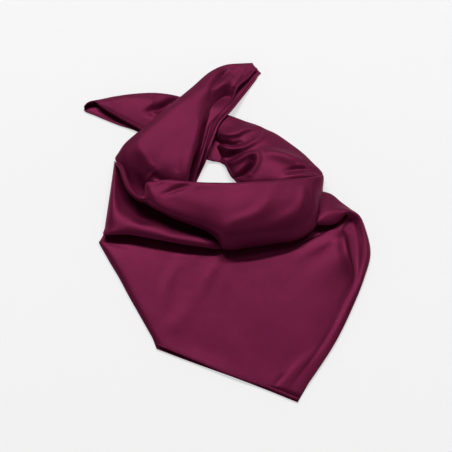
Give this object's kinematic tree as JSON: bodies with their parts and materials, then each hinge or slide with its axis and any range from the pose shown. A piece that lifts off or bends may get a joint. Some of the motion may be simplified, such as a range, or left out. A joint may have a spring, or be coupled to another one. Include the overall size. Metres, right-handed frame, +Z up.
{
  "type": "neck scarf",
  "caption": "Satin square folded on its diagonal and laid as it is worn, with a draped cowl front, a flat pointed drop and crossed tails.",
  "frame": {"origin": "on the surface that the scarf lies on, under the middle of the laid scarf's box", "axes": "+Z up, away from the surface; +X to the viewer's right; -Y towards the viewer and the drop's hem"},
  "size_m": [0.3292, 0.429, 0.0372],
  "materials": {
    "drop_satin": "satin",
    "back_satin": "satin",
    "gather_satin": "satin",
    "cowl_satin": "satin",
    "fold_satin": "satin",
    "under_satin": "satin",
    "tail_satin": "satin",
    "loop_satin": "satin",
    "end_satin": "satin"
  },
  "bodies": {
    "root": {"drop_front": "drop_satin", "drop_back": "back_satin", "right_gather": "gather_satin", "cowl": "cowl_satin", "middle_fold": "fold_satin", "under_layers": "under_satin", "right_tail": "tail_satin", "right_loop": "loop_satin", "left_tail": "end_satin"}
  },
  "joints": []
}
